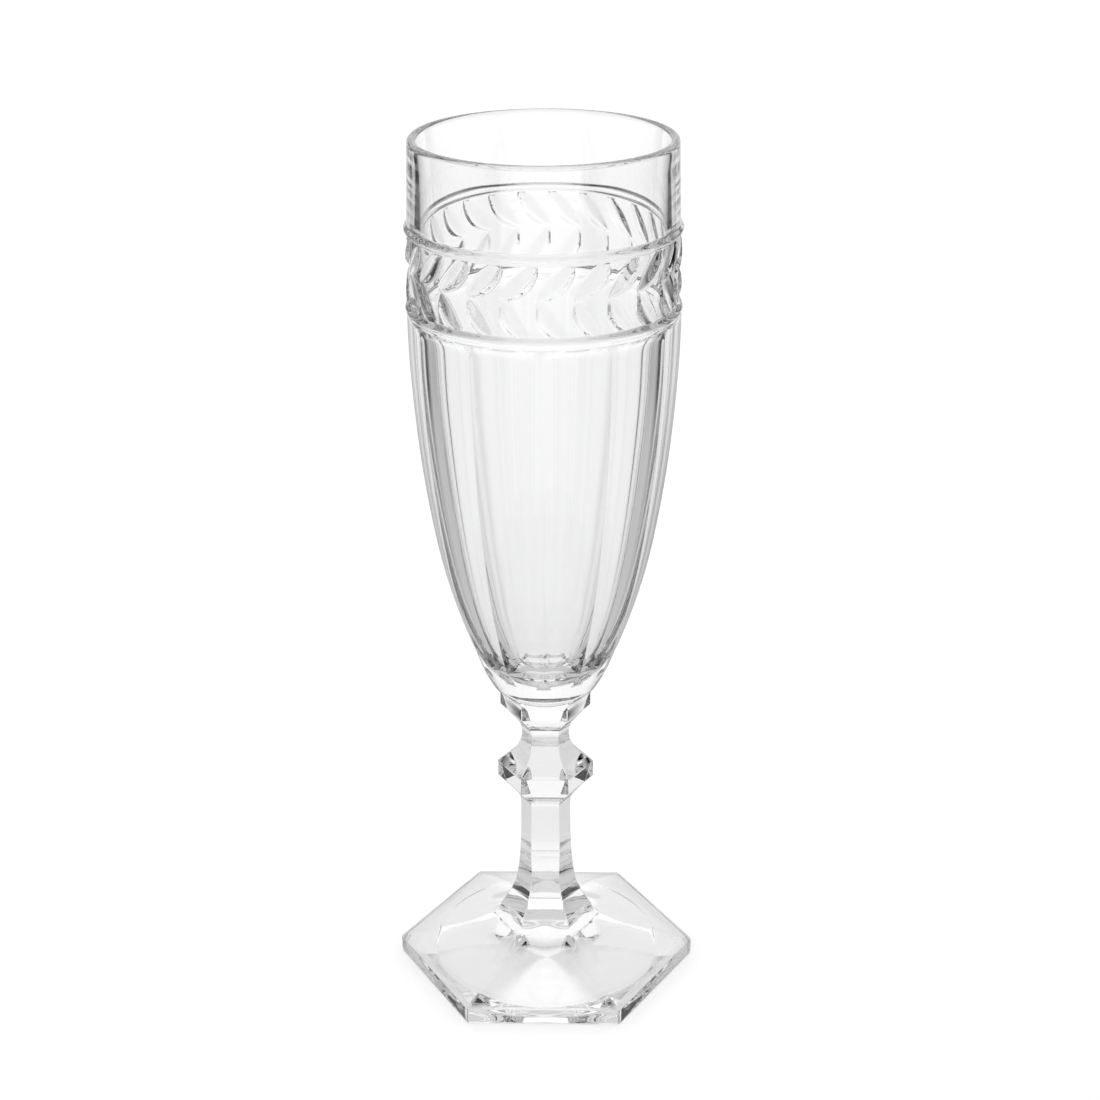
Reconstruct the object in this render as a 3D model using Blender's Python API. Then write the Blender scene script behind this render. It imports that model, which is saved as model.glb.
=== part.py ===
"""Champagne flute in clear pressed and cut glass.

Four pieces of hot glass stacked on one axis and fused: a hexagonal foot, a hexagonal stem with a knop,
a hexagonal collar, and a tall bowl with twelve flat panels and a band of laurel leaves under the rim.

Metres, +Z up. The origin is the centre of the flat the foot stands on. One flat of the hexagons
faces -Y, and one edge between two panels of the bowl faces -Y.
"""
import math

import bpy
import numpy as np

for leftover in list(bpy.data.objects):
    bpy.data.objects.remove(leftover)

MM = 0.001
JOINT_GAP = 0.3 * MM

# Heights of the fused joints, from the table up.
FOOT_TO_STEM = 26.4 * MM
STEM_TO_COLLAR = 66.0 * MM
COLLAR_TO_BOWL = 73.8 * MM
RIM_TOP = 210.0 * MM

# The small flats left along the corners of the hexagons by the polishing wheel.
CORNER_FLAT = 0.45 * MM


def glass(name, tint):
    """Clear glass: very smooth, not metallic, let through by transmission."""
    material = bpy.data.materials.new(name)
    material.use_nodes = True
    shader = material.node_tree.nodes["Principled BSDF"]
    shader.inputs["Base Color"].default_value = tint
    shader.inputs["Metallic"].default_value = 0.0
    shader.inputs["Roughness"].default_value = 0.02
    shader.inputs["IOR"].default_value = 1.52
    shader.inputs["Transmission Weight"].default_value = 1.0
    return material


def stitch(faces, low, low_angles, high, high_angles):
    """Triangles between two closed rings of any two counts, walking round both by angle."""
    i = 0
    j = 0
    count_low = len(low)
    count_high = len(high)
    while i < count_low or j < count_high:
        next_low = low_angles[(i + 1) % count_low] + (2 * math.pi if i + 1 >= count_low else 0.0)
        next_high = high_angles[(j + 1) % count_high] + (2 * math.pi if j + 1 >= count_high else 0.0)
        step_low = j >= count_high or (i < count_low and next_low <= next_high)
        here_low = low[i % count_low]
        here_high = high[j % count_high]
        if step_low:
            faces.append((here_low, low[(i + 1) % count_low], here_high))
            i += 1
        else:
            faces.append((here_low, high[(j + 1) % count_high], here_high))
            j += 1


def stacked_body(name, rings, material, crease):
    """One closed solid from rings listed from its bottom centre, up its outside, to its top centre.

    A ring is an array of points in order of angle. A ring of one point closes an end.
    """
    points = []
    faces = []
    previous = None
    for ring in rings:
        start = len(points)
        points.extend([tuple(float(v) for v in point) for point in ring])
        here = list(range(start, start + len(ring)))
        angles = [math.atan2(p[1], p[0]) % (2 * math.pi) for p in ring]
        first = int(np.argmin(angles)) if len(ring) > 1 else 0
        here = here[first:] + here[:first]
        angles = angles[first:] + angles[:first]
        if previous is not None:
            last_here, last_angles = previous
            if len(last_here) == 1:
                for k in range(len(here)):
                    faces.append((last_here[0], here[(k + 1) % len(here)], here[k]))
            elif len(here) == 1:
                for k in range(len(last_here)):
                    faces.append((last_here[k], last_here[(k + 1) % len(last_here)], here[0]))
            else:
                stitch(faces, last_here, last_angles, here, angles)
        previous = (here, angles)
    mesh = bpy.data.meshes.new(name)
    mesh.from_pydata(points, [], faces)
    mesh.materials.append(material)
    mesh.shade_smooth()
    mesh.set_sharp_from_angle(angle=math.radians(crease))
    mesh.validate()
    body = bpy.data.objects.new(name, mesh)
    bpy.context.scene.collection.objects.link(body)
    return body


def centre_point(height):
    """The single point that closes an end of a body."""
    return np.array([[0.0, 0.0, height]])


def circle(count, radius, height):
    """A round ring with a point at each step of angle from +X."""
    angle = np.arange(count) * 2 * math.pi / count
    return np.stack([radius * np.cos(angle), radius * np.sin(angle), np.full(count, height)], axis=1)


def hexagon(corner_radius, height, depth=1.0, flat=CORNER_FLAT):
    """A hexagon with a side facing -Y and each corner cut back to a narrow flat.

    The side faces stand corner_radius * cos 30 from the axis; the front and back faces stand depth times
    that. Neighbouring faces meet in a corner, and two points set back along the faces replace it.
    """
    face_angles = np.radians(-90.0 + 60.0 * np.arange(6))
    reach = np.full(6, corner_radius * math.cos(math.radians(30)))
    reach[0] *= depth
    reach[3] *= depth
    corners = []
    for k in range(6):
        a, b = face_angles[k], face_angles[(k + 1) % 6]
        solve = np.array([[math.cos(a), math.sin(a)], [math.cos(b), math.sin(b)]])
        corners.append(np.linalg.solve(solve, np.array([reach[k], reach[(k + 1) % 6]])))
    ring = []
    for k in range(6):
        before = corners[k - 1] - corners[k]
        after = corners[(k + 1) % 6] - corners[k]
        for way in (before, after):
            point = corners[k] + way / np.linalg.norm(way) * flat
            ring.append((point[0], point[1], height))
    return np.array(ring)


def curve_through(stations, heights):
    """Smooth radius at each height through a few (height, radius) stations, never overshooting them."""
    z = np.array([s[0] for s in stations]) * MM
    r = np.array([s[1] for s in stations]) * MM
    step = np.diff(z)
    slope = np.diff(r) / step
    tangent = np.zeros(len(z))
    tangent[0] = slope[0]
    tangent[-1] = slope[-1]
    for k in range(1, len(z) - 1):
        if slope[k - 1] * slope[k] > 0:
            w1 = 2 * step[k] + step[k - 1]
            w2 = step[k] + 2 * step[k - 1]
            tangent[k] = (w1 + w2) / (w1 / slope[k - 1] + w2 / slope[k])
    k = np.clip(np.searchsorted(z, heights, side="right") - 1, 0, len(z) - 2)
    t = (heights - z[k]) / step[k]
    return (r[k] * (1 + 2 * t) * (1 - t) ** 2 + step[k] * tangent[k] * t * (1 - t) ** 2
            + r[k + 1] * t ** 2 * (3 - 2 * t) + step[k] * tangent[k + 1] * t ** 2 * (t - 1))


# ---- Foot: a pressed hexagonal plate, its top rising along six ridges into the foot of the stem. ----

FOOT_CORNER = 37.0 * MM
FOOT_EDGE_HEIGHT = 4.2 * MM
FOOT_EDGE_ROUND = 0.5 * MM
FOOT_CORNER_FLAT = 0.3 * MM
RECESS_RADIUS = 26.2 * MM
RECESS_STEP = 0.35 * MM
RECESS_DEPTH = 3.8 * MM

# Height, corner radius and how far the sides are pressed in, from the edge in to the fused joint.
FOOT_TOP = [(5.2, 34.0, 0.25), (6.7, 29.5, 0.65), (8.3, 24.8, 1.2), (10.0, 20.0, 1.8),
            (11.6, 16.2, 2.05), (12.9, 13.8, 1.6), (14.2, 11.9, 0.4), (15.25, 10.9, 0.0),
            (17.4, 9.6, 0.0), (19.3, 8.45, 0.0), (21.5, 7.6, 0.0), (24.2, 7.05, 0.0)]


def pressed_hexagon(corner_radius, height, hollow):
    """A hexagon whose six sides are pressed in towards the axis, by hollow at their middles."""
    ring = hexagon(corner_radius, height)
    if hollow == 0.0:
        return ring
    points = []
    for k in range(6):
        start = ring[2 * k + 1]
        end = ring[(2 * k + 2) % 12]
        points.append(ring[2 * k])
        points.append(start)
        for eighth in range(1, 8):
            share = eighth / 8
            point = start + (end - start) * share
            inward = hollow * (0.5 - 0.5 * math.cos(2 * math.pi * share)) ** 0.7
            point[:2] *= 1 - inward / math.hypot(point[0], point[1])
            points.append(point)
    return np.array(points)


def foot_rings():
    """Rings of the foot from the centre of its hollowed underside round to the top."""
    rings = [centre_point(RECESS_DEPTH)]
    for share in (0.25, 0.5, 0.75, 1.0):
        height = RECESS_STEP + (RECESS_DEPTH - RECESS_STEP) * (1 - share ** 2)
        rings.append(circle(72, (RECESS_RADIUS - 0.3 * MM) * share, height))
    rings.append(circle(72, RECESS_RADIUS, 0.0))
    edge = FOOT_EDGE_ROUND
    rings.append(hexagon(FOOT_CORNER - edge, 0.0, flat=FOOT_CORNER_FLAT))
    rings.append(hexagon(FOOT_CORNER, edge, flat=FOOT_CORNER_FLAT))
    rings.append(hexagon(FOOT_CORNER, FOOT_EDGE_HEIGHT - edge * 0.6, flat=FOOT_CORNER_FLAT))
    rings.append(hexagon(FOOT_CORNER - edge, FOOT_EDGE_HEIGHT, flat=FOOT_CORNER_FLAT))
    for height, corner, hollow in FOOT_TOP:
        rings.append(pressed_hexagon(corner * MM, height * MM, hollow * MM))
    top = FOOT_TO_STEM - JOINT_GAP / 2
    rings.append(hexagon(6.75 * MM, top))
    rings.append(centre_point(top))
    return rings


# ---- Stem: one cut rod, six-sided from end to end, swelling into a knop near its top. ----

# (height, corner radius, depth share): shaft, underside of the knop, knop, neck.
STEM_STATIONS = [(28.5, 6.55, 0.94), (31.5, 6.32, 0.88), (36.0, 6.18, 0.88), (43.6, 6.10, 0.88),
                 (45.0, 6.35, 0.90), (46.0, 6.80, 0.94), (48.0, 8.60, 1.0), (50.2, 10.80, 1.0),
                 (51.3, 11.60, 1.0), (51.7, 11.80, 1.0), (55.0, 11.80, 1.0), (55.5, 11.45, 1.0),
                 (57.5, 8.75, 1.0), (59.2, 7.05, 0.97), (61.5, 6.02, 0.90), (62.8, 5.80, 0.88),
                 (64.6, 5.90, 0.88)]


def stem_rings():
    """Rings of the stem from the joint on the foot to the joint under the collar."""
    bottom = FOOT_TO_STEM + JOINT_GAP / 2
    top = STEM_TO_COLLAR - JOINT_GAP / 2
    rings = [centre_point(bottom), hexagon(6.75 * MM, bottom)]
    for height, corner, depth in STEM_STATIONS:
        rings.append(hexagon(corner * MM, height * MM, depth))
    rings.append(hexagon(6.40 * MM, top, 0.92))
    rings.append(centre_point(top))
    return rings


# ---- Collar: a hexagonal button of glass that carries the bowl. ----

COLLAR_CORNER = 11.0 * MM
COLLAR_STATIONS = [(68.2, 8.70), (70.2, 10.60), (70.9, 11.00)]


def collar_rings():
    """Rings of the collar from the joint on the stem to the joint under the bowl."""
    bottom = STEM_TO_COLLAR + JOINT_GAP / 2
    top = COLLAR_TO_BOWL - JOINT_GAP / 2
    rings = [centre_point(bottom), hexagon(6.50 * MM, bottom, 0.93)]
    for height, corner in COLLAR_STATIONS:
        rings.append(hexagon(corner * MM, height * MM))
    rings.append(hexagon(COLLAR_CORNER, top))
    rings.append(centre_point(top))
    return rings


# ---- Bowl: a deep cup, round inside, pressed outside with panels, two beads and a leaf band. ----

PANELS = 12
BODY_STATIONS = [(73.0, 10.2), (75.0, 11.3), (77.7, 12.9), (84.0, 16.2), (90.3, 18.7), (98.7, 21.6),
                 (109.2, 24.5), (121.8, 26.9), (134.4, 28.7), (147.0, 30.0), (159.6, 30.9),
                 (171.0, 31.1)]
INSIDE_STATIONS = [(81.1, 3.2), (81.8, 5.5), (83.4, 8.2), (86.2, 11.0), (91.0, 14.1), (100.0, 17.6),
                   (113.0, 21.0), (131.0, 24.2), (147.0, 26.3), (160.0, 27.2), (172.0, 27.6),
                   (200.0, 27.8), (208.5, 28.0)]
CUP_FLOOR = 80.8 * MM
RIM_OUTSIDE = 30.05 * MM
RIM_INSIDE = 28.05 * MM

LOW_BEAD = 171.8 * MM
HIGH_BEAD = 190.0 * MM
BEAD_HALF = 1.35 * MM
BEAD_REACH = 31.35 * MM
BAND_GROUND = 30.2 * MM
LEAF_HEIGHT = 0.95 * MM
LEAF_HALF_WIDTH = 2.1 * MM
LEAF_BOW = 0.85 * MM
LEAF_SET_BACK = 0.25 * MM
CHEVRONS = 24
CHEVRON_PHASE = math.radians(-91.6)


def panel_section(angle, corner_radius, reach):
    """Distance to the outside at an angle: the round body, cut back wherever a flat panel lies inside it."""
    width = 2 * math.pi / PANELS
    off_centre = (angle + math.pi / 2) % width - width / 2
    return np.minimum(corner_radius, reach / np.cos(off_centre))


def leaf_rise(angle, height):
    """How far the leaves stand out: two rows of drooping leaves that meet in chevrons on the mid line.

    Each leaf has a bowed centre line between two pointed ends. u is the share of its length and q its
    breadth from -1 to 1: the surface climbs gently to a ridge and drops away steeply at the low edge.
    """
    pitch = 2 * math.pi / CHEVRONS
    middle = (LOW_BEAD + HIGH_BEAD) / 2
    rise = np.zeros_like(angle)
    for side, run, climb in ((1, 8.0 * MM, 8.2 * MM), (-1, 6.5 * MM, 8.4 * MM)):
        length = math.hypot(run, climb)
        east, north = run / length, side * climb / length
        for back in (0, 1):
            across = ((angle - CHEVRON_PHASE) % pitch + back * pitch) * BAND_GROUND
            along = height - middle - side * LEAF_SET_BACK
            u = (across * east + along * north) / length
            swell = np.sin(math.pi * np.clip(u, 0, 1))
            v = across * north - along * east - LEAF_BOW * 4 * u * (1 - u)
            q = v / (LEAF_HALF_WIDTH * swell ** 0.65 + 1e-9)
            climb_side = np.clip((q + 1) / 1.35, 0, 1)
            drop_side = np.clip((1 - q) / 0.65, 0, 1)
            leaf = np.minimum(climb_side, drop_side) * swell ** 0.5
            rise = np.maximum(rise, np.where((u > 0) & (u < 1), leaf, 0.0))
    return rise * LEAF_HEIGHT


def bowl_ring(count, height, radius):
    """A ring whose radius may change with angle."""
    angle = np.arange(count) * 2 * math.pi / count
    reach = radius(angle) if callable(radius) else np.full(count, radius)
    return np.stack([reach * np.cos(angle), reach * np.sin(angle), np.full(count, height)], axis=1)


def base_section(angle, round_radius, share):
    """The foot of the bowl: share 0 is the round body, share 1 the hexagon that meets the collar."""
    off_centre = (angle + math.pi / 2 + math.pi / 6) % (math.pi / 3) - math.pi / 6
    six = COLLAR_CORNER * math.cos(math.pi / 6) / np.cos(off_centre)
    return round_radius * (1 - share) + six * share


def bowl_rings():
    """Rings of the bowl: joint, panels, bead, leaf band, bead, rim, then down the inside to the floor."""
    bottom = COLLAR_TO_BOWL + JOINT_GAP / 2
    rings = [centre_point(bottom)]
    blend = ((bottom, 1.0), (74.6 * MM, 0.80), (75.3 * MM, 0.45), (76.6 * MM, 0.0), (78.5 * MM, 0.0))
    for height, share in blend:
        body = float(curve_through(BODY_STATIONS, np.array([height]))[0])
        rings.append(bowl_ring(72, height, lambda a, b=body, s=share: base_section(a, b, s)))
    # The panels start a little above the collar, where they cut into the round body.
    for height in (80.5, 82.5, 84.0, 86.0, 89.0, 93.0, 99.0, 106.0, 114.0, 124.0, 135.0, 147.0, 158.0, 166.0):
        body = float(curve_through(BODY_STATIONS, np.array([height * MM]))[0])
        out = min(max((85.5 - height) / 5.0, 0.0), 1.0)
        out = out * out * (3 - 2 * out)
        flat = body * (math.cos(math.pi / PANELS) * (1 - out) + out)
        rings.append(bowl_ring(72, height * MM, lambda a, b=body, f=flat: panel_section(a, b, f)))
    # The panels run out in arches: each one curves forward to the round body just under the bead.
    for height, out in ((168.4, 0.0), (169.3, 0.30), (170.0, 0.62), (170.5, 1.0)):
        body = float(curve_through(BODY_STATIONS, np.array([height * MM]))[0])
        flat = body * (math.cos(math.pi / PANELS) * (1 - out) + out)
        rings.append(bowl_ring(72, height * MM, lambda a, b=body, f=flat: panel_section(a, b, f)))
    for turn in (-50, 0, 50):
        lift = math.radians(turn)
        height = LOW_BEAD + BEAD_HALF * math.sin(lift)
        rings.append(circle(96, BAND_GROUND + (BEAD_REACH - BAND_GROUND) * math.cos(lift) ** 0.5, height))
    low = LOW_BEAD + BEAD_HALF
    high = HIGH_BEAD - BEAD_HALF
    rows = 14
    for row in range(rows + 1):
        height = low + (high - low) * row / rows
        rings.append(bowl_ring(192, height, lambda a, h=height: BAND_GROUND + leaf_rise(a, h)))
    for turn in (-50, 0, 50):
        lift = math.radians(turn)
        height = HIGH_BEAD + BEAD_HALF * math.sin(lift)
        rings.append(circle(96, BAND_GROUND + (BEAD_REACH - BAND_GROUND) * math.cos(lift) ** 0.5, height))
    rings.append(circle(72, 30.55 * MM, HIGH_BEAD + BEAD_HALF))
    rings.append(circle(72, 30.35 * MM, 199.0 * MM))
    half = (RIM_OUTSIDE - RIM_INSIDE) / 2
    for turn in (0, 45, 90, 135, 180):
        lift = math.radians(turn)
        height = RIM_TOP - half + half * math.sin(lift)
        rings.append(circle(72, (RIM_OUTSIDE + RIM_INSIDE) / 2 + half * math.cos(lift), height))
    for height in (200.0, 186.0, 172.0, 160.0, 147.0, 135.0, 124.0, 113.0, 104.0, 97.0, 91.0, 87.3,
                   84.5, 82.9, 81.7, 81.1):
        inside = float(curve_through(INSIDE_STATIONS, np.array([height * MM]))[0])
        rings.append(circle(72, inside, height * MM))
    rings.append(centre_point(CUP_FLOOR))
    return rings


stacked_body("foot", foot_rings(), glass("foot_glass", (0.96, 0.97, 0.97, 1.0)), 18)
stacked_body("knopped_stem", stem_rings(), glass("stem_glass", (0.965, 0.97, 0.97, 1.0)), 18)
stacked_body("collar", collar_rings(), glass("collar_glass", (0.97, 0.97, 0.97, 1.0)), 18)
stacked_body("bowl", bowl_rings(), glass("bowl_glass", (0.97, 0.975, 0.975, 1.0)), 22)
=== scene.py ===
import math

import bpy
import numpy as np
from mathutils import Matrix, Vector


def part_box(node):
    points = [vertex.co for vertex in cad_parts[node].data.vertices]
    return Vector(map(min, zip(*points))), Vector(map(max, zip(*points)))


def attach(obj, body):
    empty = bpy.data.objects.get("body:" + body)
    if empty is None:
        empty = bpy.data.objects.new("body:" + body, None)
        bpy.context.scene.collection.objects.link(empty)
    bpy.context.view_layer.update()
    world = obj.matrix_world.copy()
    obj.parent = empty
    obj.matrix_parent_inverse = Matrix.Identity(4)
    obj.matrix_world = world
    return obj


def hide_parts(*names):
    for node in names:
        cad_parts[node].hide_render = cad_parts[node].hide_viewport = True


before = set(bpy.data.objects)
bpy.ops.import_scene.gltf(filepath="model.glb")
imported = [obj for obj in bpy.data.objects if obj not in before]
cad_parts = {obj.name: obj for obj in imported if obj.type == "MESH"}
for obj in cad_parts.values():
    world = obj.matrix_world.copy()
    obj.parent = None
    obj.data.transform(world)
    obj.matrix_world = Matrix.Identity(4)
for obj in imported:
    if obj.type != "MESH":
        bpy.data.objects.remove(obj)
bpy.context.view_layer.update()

# Foot. A hexagonal plate of clear glass pressed in a mould, with six soft ridges rising to the stem.
# Its underside is hollowed by a shallow round dish, so it stands on the flat band left round the dish.

MM = 0.001


def new_group(name, inputs, outputs):
    """A fresh shader group; inputs are (name, kind, default) and outputs are names of plain values."""
    tree = bpy.data.node_groups.new(name, "ShaderNodeTree")
    for label, kind, default in inputs:
        socket = tree.interface.new_socket(name=label, in_out="INPUT", socket_type=kind)
        if default is not None:
            socket.default_value = default
    for label in outputs:
        tree.interface.new_socket(name=label, in_out="OUTPUT", socket_type="NodeSocketFloat")
    return tree, tree.nodes.new("NodeGroupInput"), tree.nodes.new("NodeGroupOutput")


def pressed_glass_group():
    """The skin of fire-polished glass: slow ripples from the mould plus faint drag lines up and down.

    Height = Ripple times a slow noise that is stretched up the glass, plus Drag times a fine noise that
    is stretched up it much further. Roughness goes from Smooth to Handled where the slow noise is high.
    """
    tree, inside, outside = new_group("pressed glass skin", (
        ("Ripple Scale", "NodeSocketFloat", 60.0), ("Ripple", "NodeSocketFloat", 1.0),
        ("Drag Scale", "NodeSocketFloat", 500.0), ("Drag", "NodeSocketFloat", 0.15),
        ("Smooth", "NodeSocketFloat", 0.0), ("Handled", "NodeSocketFloat", 0.02)),
        ("Height", "Roughness"))
    place = tree.nodes.new("ShaderNodeTexCoord")
    stretch = tree.nodes.new("ShaderNodeMapping")
    stretch.inputs["Scale"].default_value = (1.0, 1.0, 0.45)
    tree.links.new(place.outputs["Object"], stretch.inputs["Vector"])
    squeeze = tree.nodes.new("ShaderNodeMapping")
    squeeze.inputs["Scale"].default_value = (1.0, 1.0, 0.06)
    tree.links.new(place.outputs["Object"], squeeze.inputs["Vector"])
    ripple = tree.nodes.new("ShaderNodeTexNoise")
    ripple.inputs["Detail"].default_value = 1.0
    tree.links.new(stretch.outputs["Vector"], ripple.inputs["Vector"])
    tree.links.new(inside.outputs["Ripple Scale"], ripple.inputs["Scale"])
    drag = tree.nodes.new("ShaderNodeTexNoise")
    drag.inputs["Detail"].default_value = 2.0
    tree.links.new(squeeze.outputs["Vector"], drag.inputs["Vector"])
    tree.links.new(inside.outputs["Drag Scale"], drag.inputs["Scale"])
    slow = tree.nodes.new("ShaderNodeMath")
    slow.operation = "MULTIPLY"
    tree.links.new(ripple.outputs["Fac"], slow.inputs[0])
    tree.links.new(inside.outputs["Ripple"], slow.inputs[1])
    fine = tree.nodes.new("ShaderNodeMath")
    fine.operation = "MULTIPLY_ADD"
    tree.links.new(drag.outputs["Fac"], fine.inputs[0])
    tree.links.new(inside.outputs["Drag"], fine.inputs[1])
    tree.links.new(slow.outputs["Value"], fine.inputs[2])
    tree.links.new(fine.outputs["Value"], outside.inputs["Height"])
    smear = tree.nodes.new("ShaderNodeMapRange")
    smear.inputs["From Min"].default_value = 0.45
    smear.inputs["From Max"].default_value = 0.75
    tree.links.new(ripple.outputs["Fac"], smear.inputs["Value"])
    tree.links.new(inside.outputs["Smooth"], smear.inputs["To Min"])
    tree.links.new(inside.outputs["Handled"], smear.inputs["To Max"])
    tree.links.new(smear.outputs["Result"], outside.inputs["Roughness"])
    return tree


PRESSED = pressed_glass_group()
CRYSTAL = (0.985, 0.987, 0.987, 1.0)
CRYSTAL_IOR = 1.53


def clear_glass(name, ripple, drag, depth, handled):
    """Colourless crystal that light passes through; its ripples and its wear come from the skin group.

    Ripple and drag are how fine the two patterns are, depth is the ripples' height in metres, and handled
    is the roughness of the most touched patches.
    """
    material = bpy.data.materials.new(name)
    material.use_nodes = True
    tree = material.node_tree
    shader = tree.nodes["Principled BSDF"]
    shader.inputs["Base Color"].default_value = CRYSTAL
    shader.inputs["Metallic"].default_value = 0.0
    shader.inputs["IOR"].default_value = CRYSTAL_IOR
    shader.inputs["Transmission Weight"].default_value = 1.0
    skin = tree.nodes.new("ShaderNodeGroup")
    skin.node_tree = PRESSED
    skin.inputs["Ripple Scale"].default_value = ripple
    skin.inputs["Drag Scale"].default_value = drag
    skin.inputs["Handled"].default_value = handled
    bump = tree.nodes.new("ShaderNodeBump")
    bump.inputs["Strength"].default_value = 1.0
    bump.inputs["Distance"].default_value = depth
    tree.links.new(skin.outputs["Height"], bump.inputs["Height"])
    tree.links.new(bump.outputs["Normal"], shader.inputs["Normal"])
    tree.links.new(skin.outputs["Roughness"], shader.inputs["Roughness"])
    return material


def fused_joint():
    """The face where two hot pieces became one: nothing of it is left to see."""
    material = bpy.data.materials.new("fused_joint_glass")
    material.use_nodes = True
    shader = material.node_tree.nodes["Principled BSDF"]
    shader.inputs["Alpha"].default_value = 0.0
    return material


FUSED = fused_joint()
CREASE = math.radians(35)


def eased_line(stations, steps):
    """A soft line through (height, radius, depth, ease) stations.

    Each inner station is replaced by a parabola that leaves its two edges at half of ease along them,
    so ease 1 gives one flowing curve and a small ease gives a crisp fold with a polished corner.
    """
    p = np.array(stations, dtype=float)
    ease = p[1:-1, 3:4] * 0.5
    before = p[1:-1, :3] + (p[:-2, :3] - p[1:-1, :3]) * ease
    after = p[1:-1, :3] + (p[2:, :3] - p[1:-1, :3]) * ease
    t = np.linspace(0.0, 1.0, steps)[None, :, None]
    arcs = (1 - t) ** 2 * before[:, None] + 2 * t * (1 - t) * p[1:-1, None, :3] + t ** 2 * after[:, None]
    line = np.concatenate([p[:1, :3], arcs.reshape(-1, 3), p[-1:, :3]])
    apart = np.linalg.norm(np.diff(line[:, :2], axis=0), axis=1)
    keep = np.concatenate([[True], apart > 1e-4])
    return line[keep]


def hexagon_rings(line, soften, arc_points, flat_points):
    """Six-sided rings, one for each (height, corner radius, depth) of a line, in millimetres.

    The faces stand at radius * cos 30 from the axis, the front and back ones at depth times that. Each
    corner is an arc of radius soften (one for all rings, or one each) about the point where the faces,
    moved in by soften, would meet. The points on a flat crowd a little towards its two ends.
    """
    soften = np.broadcast_to(np.asarray(soften, dtype=float), len(line))[:, None, None]
    facing = np.radians(-90.0 + 60.0 * np.arange(6))
    reach = line[:, 1, None] * math.cos(math.radians(30)) * np.ones((1, 6))
    reach[:, 0] *= line[:, 2]
    reach[:, 3] *= line[:, 2]
    reach -= soften[:, :, 0]
    a, b = facing, np.roll(facing, -1) + np.where(np.arange(6) == 5, 2 * math.pi, 0.0)
    near, far = reach, np.roll(reach, -1, axis=1)
    span = np.sin(b - a)
    hub_x = (near * np.sin(b) - far * np.sin(a)) / span
    hub_y = (far * np.cos(a) - near * np.cos(b)) / span
    turn = a[:, None] + (b - a)[:, None] * np.linspace(0, 1, arc_points)[None, :]
    x = hub_x[:, :, None] + soften * np.cos(turn)[None]
    y = hub_y[:, :, None] + soften * np.sin(turn)[None]
    share = np.linspace(0, 1, flat_points + 2)[1:-1]
    share = share - np.sin(2 * np.pi * share) / (2 * np.pi) * 0.7
    next_x = np.roll(x[:, :, 0], -1, axis=1)[:, :, None]
    next_y = np.roll(y[:, :, 0], -1, axis=1)[:, :, None]
    flat_x = x[:, :, -1:] * (1 - share) + next_x * share
    flat_y = y[:, :, -1:] * (1 - share) + next_y * share
    ring_x = np.concatenate([x, flat_x], axis=2).reshape(len(line), -1)
    ring_y = np.concatenate([y, flat_y], axis=2).reshape(len(line), -1)
    ring_z = np.repeat(line[:, :1], ring_x.shape[1], axis=1)
    return np.stack([ring_x, ring_y, ring_z], axis=2)


def glass_piece(name, rings, glass, joint_below, joint_above):
    """One closed skin from rings (rows, points, 3) in millimetres, its two ends closed at a middle point.

    Quads join each ring to the next; fans close the ends, and an end that is a fused joint is clear.
    Folds sharper than CREASE stay crisp, and all else is smooth.
    """
    rows, around = rings.shape[:2]
    ends = np.array([rings[0].mean(axis=0), rings[-1].mean(axis=0)])
    points = np.concatenate([rings.reshape(-1, 3), ends]) * MM
    row = np.arange(rows - 1)[:, None] * around
    step = np.arange(around)[None, :]
    after = (step + 1) % around
    quads = np.stack([row + step, row + after, row + around + after, row + around + step], axis=2)
    quads = quads.reshape(-1, 4)
    step, after = step[0], after[0]
    last = (rows - 1) * around
    below = np.stack([np.full(around, rows * around), after, step], axis=1)
    above = np.stack([np.full(around, rows * around + 1), last + step, last + after], axis=1)
    mesh = bpy.data.meshes.new(name)
    mesh.from_pydata(points.tolist(), [], quads.tolist() + below.tolist() + above.tolist())
    mesh.materials.append(glass)
    mesh.materials.append(FUSED)
    slots = np.zeros(len(quads) + 2 * around, dtype=np.int32)
    slots[len(quads):len(quads) + around] = 1 if joint_below else 0
    slots[len(quads) + around:] = 1 if joint_above else 0
    mesh.polygons.foreach_set("material_index", slots)
    mesh.shade_smooth()
    mesh.set_sharp_from_angle(angle=CREASE)
    mesh.update()
    piece = bpy.data.objects.new(name, mesh)
    bpy.context.scene.collection.objects.link(piece)
    return piece


def joint_height(lower, upper):
    """Where two fused pieces meet, in millimetres: the middle of the small gap between their solids."""
    return (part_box(lower)[1].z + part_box(upper)[0].z) / 2 / MM


JOINT_FOOT = joint_height("foot", "knopped_stem")
FOOT_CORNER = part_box("foot")[1].y / MM / math.cos(math.radians(30))
ROD_CORNER = 6.75
EDGE_HEIGHT = 4.2
EDGE_SOFTEN = 1.1
foot_top = eased_line([
    (EDGE_HEIGHT, FOOT_CORNER - 0.4, 1.0, 0.0), (5.3, 34.0, 1.0, 0.8), (6.9, 29.5, 1.0, 1.0),
    (8.4, 24.8, 1.0, 1.0), (10.0, 20.0, 1.0, 1.0), (11.5, 16.4, 1.0, 1.0), (12.8, 13.9, 1.0, 0.8),
    (14.1, 12.0, 1.0, 0.6), (15.25, 10.9, 1.0, 0.25), (17.4, 9.6, 1.0, 0.25), (19.3, 8.5, 1.0, 0.8),
    (21.5, 7.6, 1.0, 0.25), (24.2, 7.05, 1.0, 0.8), (JOINT_FOOT, ROD_CORNER, 1.0, 0.0)], 7)
foot_edge = eased_line([
    (0.0, FOOT_CORNER - 0.8, 1.0, 0.0), (0.0, FOOT_CORNER, 1.0, 0.9),
    (EDGE_HEIGHT, FOOT_CORNER, 1.0, 0.3), (EDGE_HEIGHT, FOOT_CORNER - 0.4, 1.0, 0.0)], 7)
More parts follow.
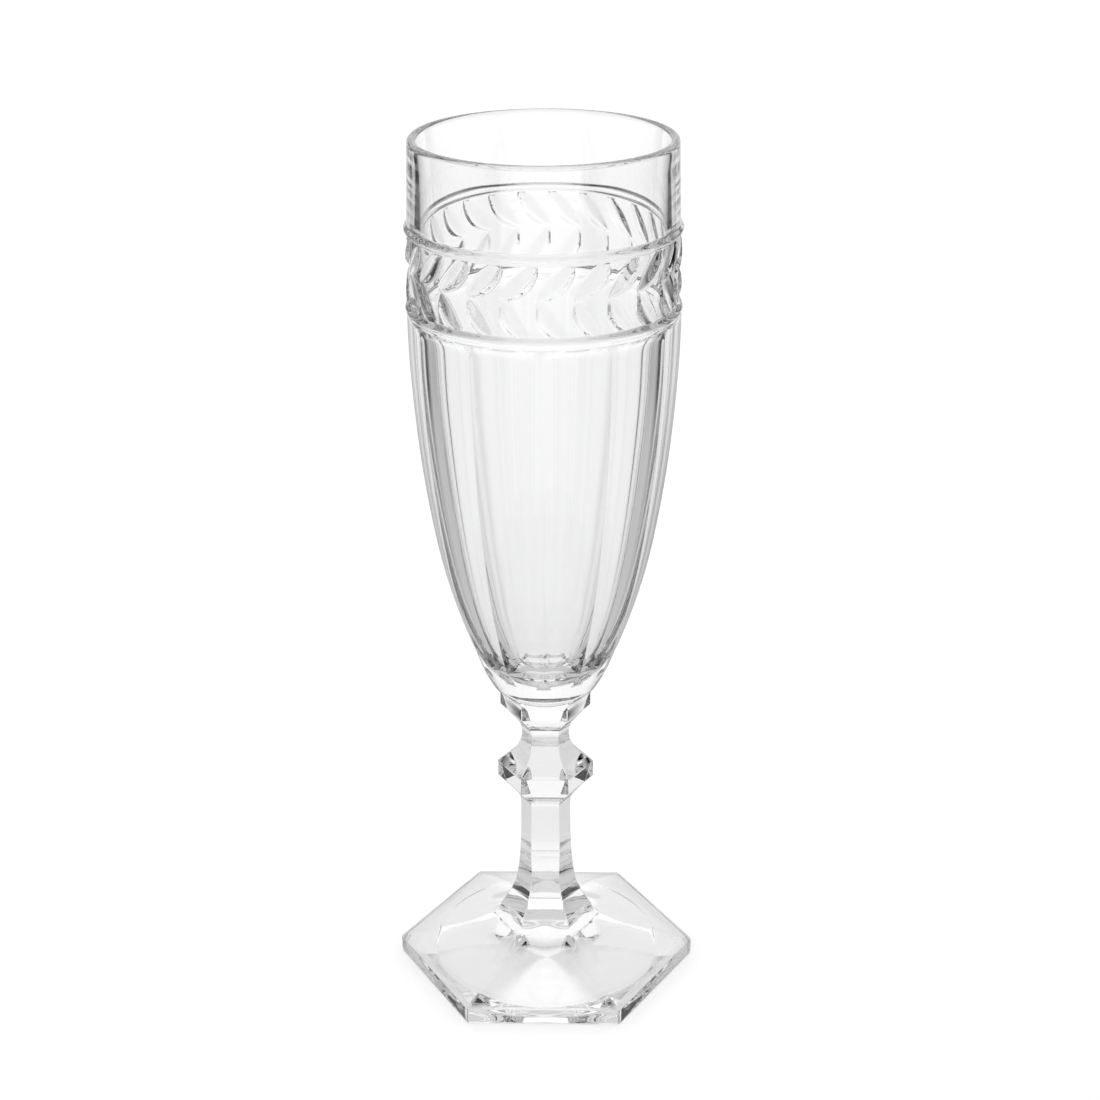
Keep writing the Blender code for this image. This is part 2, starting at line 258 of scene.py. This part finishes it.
edge_rings = hexagon_rings(foot_edge, EDGE_SOFTEN, arc_points=7, flat_points=14)
# The ridges are broad and round half way up, and tighten to the crisp corners of the stem.
ridge_soften = np.interp(
    foot_top[:, 0], (EDGE_HEIGHT, 5.5, 9.0, 12.0, 14.6), (EDGE_SOFTEN, 1.8, 2.4, 1.6, 0.45))
top_rings = hexagon_rings(foot_top[1:], ridge_soften[1:], arc_points=7, flat_points=14)
# Between the ridges the six faces are pressed a little hollow, most where the dome starts to rise.
across = np.arctan2(top_rings[:, :, 1], top_rings[:, :, 0])
hollow = np.interp(
    top_rings[:, :, 2],
    (EDGE_HEIGHT, 6.0, 8.0, 10.0, 12.0, 13.4, 14.6), (0.0, 0.4, 1.1, 1.8, 2.1, 1.3, 0.0))
hollow = hollow * (0.5 - 0.5 * np.cos(6 * (across + math.pi / 6))) ** 0.7
top_rings[:, :, :2] *= 1 - (hollow / np.hypot(top_rings[:, :, 0], top_rings[:, :, 1]))[:, :, None]

# The dish: a shallow bowed cap, a rolled lip at its rim, then the flat band out to the edge.
DISH_RADIUS = 26.2
DISH_DEPTH = 3.8
DISH_STEP = 0.35
corner_angle = np.arctan2(edge_rings[0, :, 1], edge_rings[0, :, 0])
share = np.linspace(0.04, 0.97, 26)
cap = np.stack([DISH_STEP + (DISH_DEPTH - DISH_STEP) * (1 - share ** 2), DISH_RADIUS * share], axis=1)
lip = eased_line([(*cap[-1], 1, 0), (DISH_STEP, DISH_RADIUS, 1, 0.9), (0.0, DISH_RADIUS + 0.7, 1, 1.0),
                  (0.0, DISH_RADIUS + 2.0, 1, 0)], 7)
below = np.concatenate([cap, lip[1:, :2]])
dish = np.stack([below[:, 1:] * np.cos(corner_angle), below[:, 1:] * np.sin(corner_angle),
                 below[:, :1] * np.ones_like(corner_angle)], axis=2)
band = dish[-1:] + (edge_rings[:1] - dish[-1:]) * np.linspace(0, 1, 6)[1:-1, None, None]
foot_rings = np.concatenate([dish, band, edge_rings, top_rings])
foot_glass = clear_glass("foot_crystal", ripple=45.0, drag=300.0, depth=0.00004, handled=0.03)
foot = glass_piece("foot_glass", foot_rings, foot_glass, joint_below=False, joint_above=True)
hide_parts("foot")
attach(foot, "root")

# Stem. One rod of crystal, cut six-sided from end to end and polished, swelling into a knop under the
# bowl. It is a little thinner from front to back than across.

JOINT_COLLAR = joint_height("knopped_stem", "collar")
KNOP_CORNER = 11.75
NECK_CORNER = 6.40
NECK_DEPTH = 0.92
stem_line = eased_line([
    (JOINT_FOOT, ROD_CORNER, 1.0, 0.0), (28.5, 6.55, 0.95, 0.9), (32.0, 6.30, 0.88, 0.9),
    (36.0, 6.18, 0.88, 0.9), (43.4, 6.08, 0.88, 0.6), (45.2, 6.25, 0.90, 0.5), (46.2, 6.85, 0.95, 0.4),
    (48.9, 9.2, 0.98, 1.0), (51.3, KNOP_CORNER, 1.0, 0.12), (55.3, KNOP_CORNER, 1.0, 0.14),
    (57.3, 8.85, 1.0, 0.5), (59.2, 7.05, 0.98, 0.15), (61.3, 6.05, 0.90, 0.2), (62.6, 5.78, 0.88, 0.3),
    (64.4, 5.80, 0.88, 0.6), (JOINT_COLLAR, NECK_CORNER, NECK_DEPTH, 0.0)], 9)
stem_rings = hexagon_rings(stem_line, soften=0.35, arc_points=6, flat_points=10)
stem_glass = clear_glass("stem_crystal", ripple=90.0, drag=400.0, depth=0.00002, handled=0.02)
stem = glass_piece("stem_glass", stem_rings, stem_glass, joint_below=True, joint_above=True)
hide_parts("knopped_stem")
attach(stem, "root")

# Collar. A button of crystal that carries the bowl, cut to six short flats with a sloped underside.

JOINT_BOWL = joint_height("collar", "bowl")
COLLAR_CORNER = 11.0
collar_line = eased_line([
    (JOINT_COLLAR, NECK_CORNER, NECK_DEPTH, 0.0), (68.3, 8.45, 0.97, 1.0),
    (70.9, COLLAR_CORNER, 1.0, 0.12), (73.0, COLLAR_CORNER, 1.0, 0.2),
    (JOINT_BOWL, COLLAR_CORNER, 1.0, 0.0)], 9)
collar_rings = hexagon_rings(collar_line, soften=0.4, arc_points=6, flat_points=10)
collar_glass = clear_glass("collar_crystal", ripple=90.0, drag=400.0, depth=0.00002, handled=0.02)
collar = glass_piece("collar_glass", collar_rings, collar_glass, joint_below=True, joint_above=True)
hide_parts("collar")
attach(collar, "root")

# Bowl. A tall cup pressed in a mould and fire-polished: round inside, with twelve flat panels outside,
# and between two beads under the rim a band of laurel leaves in relief.

PANELS = 12
PANEL_SOFTEN = 0.5
CHEVRONS = 24
LOW_BEAD = 171.8
HIGH_BEAD = 190.0
BEAD_HALF = 1.35
BEAD_REACH = 31.3
BAND_GROUND = 30.2
LEAF_HEIGHT = 0.95
LEAF_HALF_WIDTH = 2.1
LEAF_BOW = 0.85
LEAF_GAP = 0.5
LEAF_START = math.radians(91.6)
RIDGE_PLACE = 0.35
RIDGE_ROUND = 0.6


def panel_reach(angle, apothem, body):
    """Distance to a twelve-sided outline with rounded corners, never outside the round body.

    A flat stands at apothem / cos(angle from its middle); past its end, an arc of radius PANEL_SOFTEN
    about the softened corner takes over.
    """
    half = math.pi / PANELS
    from_middle = np.abs((angle + math.pi / 2) % (2 * half) - half)
    hub = (apothem - PANEL_SOFTEN) / math.cos(half)
    tangent = np.arctan((apothem - PANEL_SOFTEN) * math.tan(half) / apothem)
    from_corner = half - from_middle
    inside = np.maximum(PANEL_SOFTEN ** 2 - (hub * np.sin(from_corner)) ** 2, 0.0)
    arc = hub * np.cos(from_corner) + np.sqrt(inside)
    return np.minimum(np.where(from_middle < tangent, apothem / np.cos(from_middle), arc), body)


def leaf_rise(angle, height):
    """Relief of two rows of drooping laurel leaves that meet in chevrons on the mid line.

    Each leaf runs between two pointed ends along a bowed centre line. u is the share of its length and
    q its breadth from -1 to 1. The surface climbs from one edge to a rounded ridge and drops off steeper
    beyond it; the two slopes are joined by a smooth minimum, and the whole leaf fades at its two ends.
    """
    pitch = 2 * math.pi / CHEVRONS
    middle = (LOW_BEAD + HIGH_BEAD) / 2
    rise = np.zeros(np.broadcast(angle, height).shape)
    for side, run, climb in ((1, 8.0, 8.2), (-1, 6.5, 8.4)):
        for back in (0, 1):
            across = ((angle + LEAF_START) % pitch + back * pitch) * BAND_GROUND
            along = height - middle - side * LEAF_GAP / 2
            length = math.hypot(run, climb)
            east, north = run / length, side * climb / length
            u = (across * east + along * north) / length
            swell = np.sin(math.pi * np.clip(u, 0, 1))
            v = across * north - along * east - LEAF_BOW * 4 * u * (1 - u)
            q = v / (LEAF_HALF_WIDTH * swell ** 0.65 + 1e-6)
            climb_side = np.clip((q + 1) / (1 + RIDGE_PLACE), 0, 1)
            drop_side = np.clip((1 - q) / (1 - RIDGE_PLACE), 0, 1)
            nearer = np.clip(0.5 + (drop_side - climb_side) / RIDGE_ROUND, 0, 1)
            leaf = drop_side * (1 - nearer) + climb_side * nearer
            leaf = leaf - 0.5 * RIDGE_ROUND * nearer * (1 - nearer)
            leaf = leaf * swell ** 0.5
            rise = np.maximum(rise, np.where((u > 0) & (u < 1), leaf, 0.0))
    return rise * LEAF_HEIGHT


AROUND = 384
even = np.arange(AROUND) * 2 * math.pi / AROUND
# In the panelled part the columns crowd towards the corners between panels.
lap = (even + math.pi / 2) * PANELS / (2 * math.pi)
lap = lap - 0.11 * np.sin(2 * np.pi * lap)
crowded = lap * 2 * math.pi / PANELS - math.pi / 2


def bowl_rows(angle, height, reach):
    """Rings at each height whose distance from the axis is given for every angle."""
    reach = np.broadcast_to(reach, (len(height), len(angle)))
    return np.stack([reach * np.cos(angle), reach * np.sin(angle),
                     np.repeat(np.asarray(height, dtype=float)[:, None], len(angle), axis=1)], axis=2)


body_line = eased_line([
    (JOINT_BOWL, 10.9, 1, 0), (75.2, 11.45, 1, 1), (77.7, 12.95, 1, 1), (84.0, 16.3, 1, 1),
    (90.3, 18.85, 1, 1), (98.7, 21.75, 1, 1), (109.2, 24.65, 1, 1), (121.8, 27.0, 1, 1),
    (134.4, 28.8, 1, 1), (147.0, 30.05, 1, 1), (159.6, 30.9, 1, 1), (168.0, 31.08, 1, 1),
    (170.2, 31.05, 1, 0)], 5)
z = np.union1d(body_line[:, 0], np.linspace(JOINT_BOWL, 86.0, 30))
body = np.interp(z, body_line[:, 0], body_line[:, 1])
# The panels run out to the round body in arches under the low bead, and softly at their bottom ends.
to_round = np.clip((z - 168.0) / 2.4, 0, 1)
to_round = 1 - np.sqrt(1 - to_round ** 2)
fade = np.clip((85.5 - z) / 5.0, 0, 1)
to_round = to_round + fade * fade * (3 - 2 * fade)
flat = body * (math.cos(math.pi / PANELS) * (1 - to_round) + to_round)
panels = panel_reach(crowded[None, :], flat[:, None], body[:, None])
# Its lowest part turns from round to the six flats of the collar.
SIX_TOP = 77.6
six_middle = (crowded + math.pi / 2 + math.pi / 6) % (math.pi / 3) - math.pi / 6
six = COLLAR_CORNER * math.cos(math.pi / 6) / np.cos(six_middle)
to_six = np.clip((SIX_TOP - z) / (SIX_TOP - JOINT_BOWL), 0, 1)[:, None]
to_six = to_six * to_six * (3 - 2 * to_six)
panels = panels * (1 - to_six) + six[None, :] * to_six
outside = bowl_rows(crowded, z, panels)


def bead_rows(middle, angle, below, above):
    """A soft bead between two reaches: over a slanting base it rises as a raised cosine of the height."""
    share = np.linspace(-1, 1, 15)
    base = below + (above - below) * (0.5 + 0.5 * np.sin(math.pi / 2 * share))
    reach = base + (BEAD_REACH - base) * (0.5 + 0.5 * np.cos(math.pi * share)) ** 0.8
    return bowl_rows(angle, middle + BEAD_HALF * share, reach[:, None])


leaf_z = np.linspace(LOW_BEAD + BEAD_HALF + 0.1, HIGH_BEAD - BEAD_HALF - 0.1, 60)
leaves = bowl_rows(even, leaf_z, BAND_GROUND + leaf_rise(even[None, :], leaf_z[:, None]))
# The rim is a half round between the outer and the inner wall.
RIM_HALF = 1.0
RIM_RADIUS = 29.05
RIM_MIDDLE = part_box("bowl")[1].z / MM - RIM_HALF
neck_line = eased_line([
    (191.5, 30.5, 1, 0), (195.0, 30.45, 1, 1), (202.0, 30.25, 1, 1),
    (RIM_MIDDLE - 0.5, RIM_RADIUS + RIM_HALF, 1, 0)], 5)
rim_turn = np.radians(np.linspace(0, 180, 13))
rim = bowl_rows(even, RIM_MIDDLE + RIM_HALF * np.sin(rim_turn),
                (RIM_RADIUS + RIM_HALF * np.cos(rim_turn))[:, None])
CUP_FLOOR = 80.8
inside_line = eased_line([
    (RIM_MIDDLE - 0.5, RIM_RADIUS - RIM_HALF, 1, 0), (200.0, 27.8, 1, 1), (186.0, 27.65, 1, 1),
    (172.0, 27.6, 1, 1), (160.0, 27.2, 1, 1), (147.0, 26.3, 1, 1), (131.0, 24.3, 1, 1),
    (113.0, 21.1, 1, 1), (100.0, 17.7, 1, 1), (91.0, 14.2, 1, 1), (86.0, 10.9, 1, 1),
    (83.1, 8.4, 1, 1), (81.3, 5.4, 1, 1), (CUP_FLOOR, 2.6, 1, 1), (CUP_FLOOR, 0.3, 1, 0)], 5)
bowl_rings = np.concatenate([
    outside, bead_rows(LOW_BEAD, even, 30.9, BAND_GROUND), leaves,
    bead_rows(HIGH_BEAD, even, BAND_GROUND, 30.5),
    bowl_rows(even, neck_line[:, 0], neck_line[:, 1:2]), rim,
    bowl_rows(even, inside_line[:, 0], inside_line[:, 1:2])])
bowl_glass = clear_glass("bowl_crystal", ripple=35.0, drag=260.0, depth=0.00003, handled=0.02)
bowl = glass_piece("bowl_glass", bowl_rings, bowl_glass, joint_below=True, joint_above=False)
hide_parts("bowl")
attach(bowl, "root")

# Floor. A wide sheet of matt white paper. Seen plainly it is bare white. Seen through the glass it glows
# with painted light, a shade greyer as painted shade. Light that was turned inside the glass finds
# painted dark flats in the paper's glow at its two sides: painted shade, with no flats standing there.

# The painted greys go by the distance from the glass, as a share of the span, and all beyond the span is
# one grey.
PAPER_SPAN = 1.6


def studio_sides_group():
    """How far a direction looks to the two sides of the studio, and how far it looks to its back.

    For the flat unit direction (x, y), Sideways is |x|, 0 ahead and behind and 1 at both sides; Away is
    half of 1 + y, 1 at the back of the studio and 0 at its front.
    """
    tree, inside, outside = new_group(
        "studio sides", [("Direction", "NodeSocketVector", None)], ("Sideways", "Away"))
    flat = tree.nodes.new("ShaderNodeVectorMath")
    flat.operation = "MULTIPLY"
    flat.inputs[1].default_value = (1.0, 1.0, 0.0)
    tree.links.new(inside.outputs["Direction"], flat.inputs[0])
    unit = tree.nodes.new("ShaderNodeVectorMath")
    unit.operation = "NORMALIZE"
    tree.links.new(flat.outputs["Vector"], unit.inputs[0])
    part = tree.nodes.new("ShaderNodeSeparateXYZ")
    tree.links.new(unit.outputs["Vector"], part.inputs["Vector"])
    sideways = tree.nodes.new("ShaderNodeMath")
    sideways.operation = "ABSOLUTE"
    tree.links.new(part.outputs["X"], sideways.inputs[0])
    tree.links.new(sideways.outputs["Value"], outside.inputs["Sideways"])
    away = tree.nodes.new("ShaderNodeMath")
    away.operation = "MULTIPLY_ADD"
    away.inputs[1].default_value = 0.5
    away.inputs[2].default_value = 0.5
    tree.links.new(part.outputs["Y"], away.inputs[0])
    tree.links.new(away.outputs["Value"], outside.inputs["Away"])
    return tree


STUDIO_SIDES = studio_sides_group()


def grey(level):
    """An opaque grey, from 0 for black to 1 for white."""
    return (level, level, level, 1.0)


def grey_ramp(tree, name, factor, stops):
    """A ramp of greys; each stop is (place from 0 to 1, level)."""
    ramp = tree.nodes.new("ShaderNodeValToRGB")
    ramp.label = name
    while len(ramp.color_ramp.elements) < len(stops):
        ramp.color_ramp.elements.new(0.5)
    for element, (place, level) in zip(ramp.color_ramp.elements, stops):
        element.position = place
        element.color = grey(level)
    tree.links.new(factor, ramp.inputs["Fac"])
    return ramp.outputs["Color"]


def choose(tree, switch, plain, other):
    """The plain colour where switch is 0, the other one where it is 1."""
    mix = tree.nodes.new("ShaderNodeMix")
    mix.data_type = "RGBA"
    tree.links.new(switch, mix.inputs[0])
    for socket, value in ((mix.inputs[6], plain), (mix.inputs[7], other)):
        if isinstance(value, tuple):
            socket.default_value = value
        else:
            tree.links.new(value, socket)
    return mix.outputs[2]


def light_path(tree):
    """The light path node, and 1 for light that the glass reflected before it came here."""
    path = tree.nodes.new("ShaderNodeLightPath")
    turned = tree.nodes.new("ShaderNodeMath")
    turned.operation = "GREATER_THAN"
    turned.inputs[1].default_value = 0.5
    tree.links.new(path.outputs["Glossy Depth"], turned.inputs[0])
    return path, turned.outputs["Value"]


def studio_sides(tree, direction):
    """The studio sides group, fed with a direction or with a place on the floor."""
    sides = tree.nodes.new("ShaderNodeGroup")
    sides.node_tree = STUDIO_SIDES
    tree.links.new(direction, sides.inputs["Direction"])
    return sides


def between(tree, value, edge, full, first=0.0, last=1.0):
    """First below edge, last above full, and an even change between them."""
    change = tree.nodes.new("ShaderNodeMapRange")
    for label, number in (("From Min", edge), ("From Max", full), ("To Min", first), ("To Max", last)):
        change.inputs[label].default_value = number
    tree.links.new(value, change.inputs["Value"])
    return change.outputs["Result"]


def white_paper():
    """White paper: a matt share that takes shadows, and a share that glows with painted light in place of
    the lit sheet.

    The glow is an even grey seen plainly. Seen through the glass it is the painted glow ramp, greyer near
    the glass and at the sides as painted shade. For light that the glass reflected it is the turned
    ramps, with painted dark flats.
    """
    material = bpy.data.materials.new("white_paper")
    material.use_nodes = True
    tree = material.node_tree
    shader = tree.nodes["Principled BSDF"]
    shader.inputs["Roughness"].default_value = 1.0
    shader.inputs["Specular IOR Level"].default_value = 0.0
    shader.inputs["Emission Strength"].default_value = 1.0
    place = tree.nodes.new("ShaderNodeTexCoord")
    away = tree.nodes.new("ShaderNodeVectorMath")
    away.operation = "LENGTH"
    tree.links.new(place.outputs["Object"], away.inputs[0])
    share = tree.nodes.new("ShaderNodeMath")
    share.operation = "DIVIDE"
    share.inputs[1].default_value = PAPER_SPAN
    tree.links.new(away.outputs["Value"], share.inputs[0])
    # Painted glow seen through the glass: painted shade, darkest a little way out from the glass and
    # lighter far off.
    painted_glow_ramp = grey_ramp(tree, "painted_glow_ramp", share.outputs["Value"], (
        (0.0, 0.87), (0.016, 0.85), (0.03, 0.62), (0.045, 0.58), (0.09, 0.60), (0.125, 0.64),
        (0.19, 0.68), (0.30, 0.69), (0.42, 0.75), (0.60, 0.80), (1.0, 0.83)))
    # Painted glow for light that the glass reflected: painted shade, darker near the glass.
    turned_painted_glow = grey_ramp(tree, "turned lit", share.outputs["Value"], (
        (0.0, 0.68), (0.015, 0.62), (0.04, 0.46), (0.12, 0.46), (0.2, 0.55), (0.28, 0.64), (0.4, 0.72),
        (1.0, 0.80)))
    # Painted dark flats: painted shade that goes to black away from the glass, for light that the glass
    # reflected.
    painted_flat_greys = grey_ramp(tree, "painted_flat_greys", share.outputs["Value"], (
        (0.0, 0.42), (0.06, 0.40), (0.10, 0.36), (0.17, 0.28), (0.22, 0.16), (0.26, 0.0), (1.0, 0.0)))
    path, turned = light_path(tree)
    sideways = studio_sides(tree, place.outputs["Object"]).outputs["Sideways"]
    # Where the painted dark flats lie: the two sides of the paper.
    painted_flats = grey_ramp(tree, "flats", sideways, (
        (0.0, 0.0), (0.55, 0.0), (0.59, 1.0), (0.72, 1.0), (0.84, 0.4), (1.0, 0.4)))
    # Painted shade: the glow seen through the glass is darker towards the two sides.
    painted_side_shade = tree.nodes.new("ShaderNodeVectorMath")
    painted_side_shade.operation = "SCALE"
    tree.links.new(painted_glow_ramp, painted_side_shade.inputs[0])
    tree.links.new(between(tree, sideways, 0.32, 0.50, 1.0, 0.74), painted_side_shade.inputs["Scale"])
    glow = choose(tree, turned, painted_side_shade.outputs["Vector"], choose(tree, painted_flats, turned_painted_glow, painted_flat_greys))
    glow = choose(tree, path.outputs["Is Camera Ray"], glow, grey(0.55))
    tree.links.new(glow, shader.inputs["Emission Color"])
    # Under the painted dark flats, for reflected light, the matt share is turned off so that the painted
    # black stays black.
    under_painted_flats = between(tree, share.outputs["Value"], 0.12, 0.26)
    for other in (painted_flats, turned):
        both = tree.nodes.new("ShaderNodeMath")
        both.operation = "MULTIPLY"
        tree.links.new(under_painted_flats, both.inputs[0])
        tree.links.new(other, both.inputs[1])
        under_painted_flats = both.outputs["Value"]
    matt = choose(tree, under_painted_flats, grey(0.30), grey(0.0))
    matt = choose(tree, path.outputs["Is Camera Ray"], matt, grey(0.50))
    tree.links.new(matt, shader.inputs["Base Color"])
    return material


# The sheet lies a hair under the glass, so that the two never share a face.
PAPER_RADIUS = 6.0
PAPER_DROP = 0.00005
bpy.ops.mesh.primitive_circle_add(
    vertices=96, radius=PAPER_RADIUS, fill_type="NGON", location=(0, 0, -PAPER_DROP))
floor = bpy.context.object
floor.name = "floor_paper"
floor.data.materials.append(white_paper())

# Light. A white tent all round and above. Light turned inside the glass also finds the black flats at its
# sides, the dim front of the studio and the dark gap between tent and floor.

scene = bpy.context.scene
world = bpy.data.worlds.new("white_tent")
world.use_nodes = True
scene.world = world
sky = world.node_tree
look = sky.nodes.new("ShaderNodeTexCoord")
height = sky.nodes.new("ShaderNodeSeparateXYZ")
sky.links.new(look.outputs["Generated"], height.inputs["Vector"])
tent = grey_ramp(sky, "tent", height.outputs["Z"], (
    (0.0, 0.95), (0.15, 1.0), (0.80, 1.0), (0.92, 0.80), (1.0, 0.70)))
low = grey_ramp(sky, "low gap", height.outputs["Z"], ((0.0, 0.0), (0.04, 0.0), (0.09, 1.0), (1.0, 1.0)))
room = grey_ramp(sky, "room", height.outputs["Z"], (
    (0.0, 0.0), (0.11, 0.0), (0.16, 1.0), (0.75, 1.0), (0.88, 0.85), (1.0, 0.80)))
sides = studio_sides(sky, look.outputs["Generated"])
flats = grey_ramp(sky, "black flats", sides.outputs["Away"], (
    (0.0, 0.6), (0.11, 0.6), (0.15, 0.0), (0.32, 0.0), (0.42, 0.3), (0.58, 0.3), (0.68, 0.0), (0.85, 0.0),
    (0.89, 1.0), (1.0, 1.0)))
path, turned = light_path(sky)
at_sides = between(sky, sides.outputs["Sideways"], 0.38, 0.46)
straight = choose(sky, at_sides, tent, low)
round_room = choose(sky, at_sides, tent, room)
walls = sky.nodes.new("ShaderNodeVectorMath")
walls.operation = "MULTIPLY"
sky.links.new(round_room, walls.inputs[0])
sky.links.new(flats, walls.inputs[1])
seen = choose(sky, turned, straight, walls.outputs["Vector"])
seen = choose(sky, path.outputs["Is Camera Ray"], seen, grey(1.0))
sky.links.new(seen, sky.nodes["Background"].inputs["Color"])
sky.nodes["Background"].inputs["Strength"].default_value = 1.05

# Camera. Close to the glass and looking down on it, turned a touch so one flat nearly faces it.

camera_data = bpy.data.cameras.new("camera")
camera_data.sensor_width = 36.0
camera_data.lens = 72.4255
camera_data.shift_x = 0.0047
camera_data.clip_start = 0.01
camera = bpy.data.objects.new("camera", camera_data)
scene.collection.objects.link(camera)
DISTANCE = 0.4820
EYE_HEIGHT = 0.3147
LOOK_DOWN = math.radians(22.865)
turn = Matrix.Rotation(0.0248, 4, "Z")
place = Matrix.Translation((0.0, -DISTANCE, EYE_HEIGHT))
tilt = Matrix.Rotation(math.pi / 2 - LOOK_DOWN, 4, "X")
roll = Matrix.Rotation(-0.0036, 4, "Z")
camera.matrix_world = turn @ place @ tilt @ roll
scene.camera = camera

scene.view_settings.view_transform = "Standard"
# Light crosses a dozen skins of clear glass on its way out, so it is given many turns.
scene.cycles.max_bounces = 32
scene.cycles.transmission_bounces = 32
scene.cycles.glossy_bounces = 16
scene.cycles.transparent_max_bounces = 16
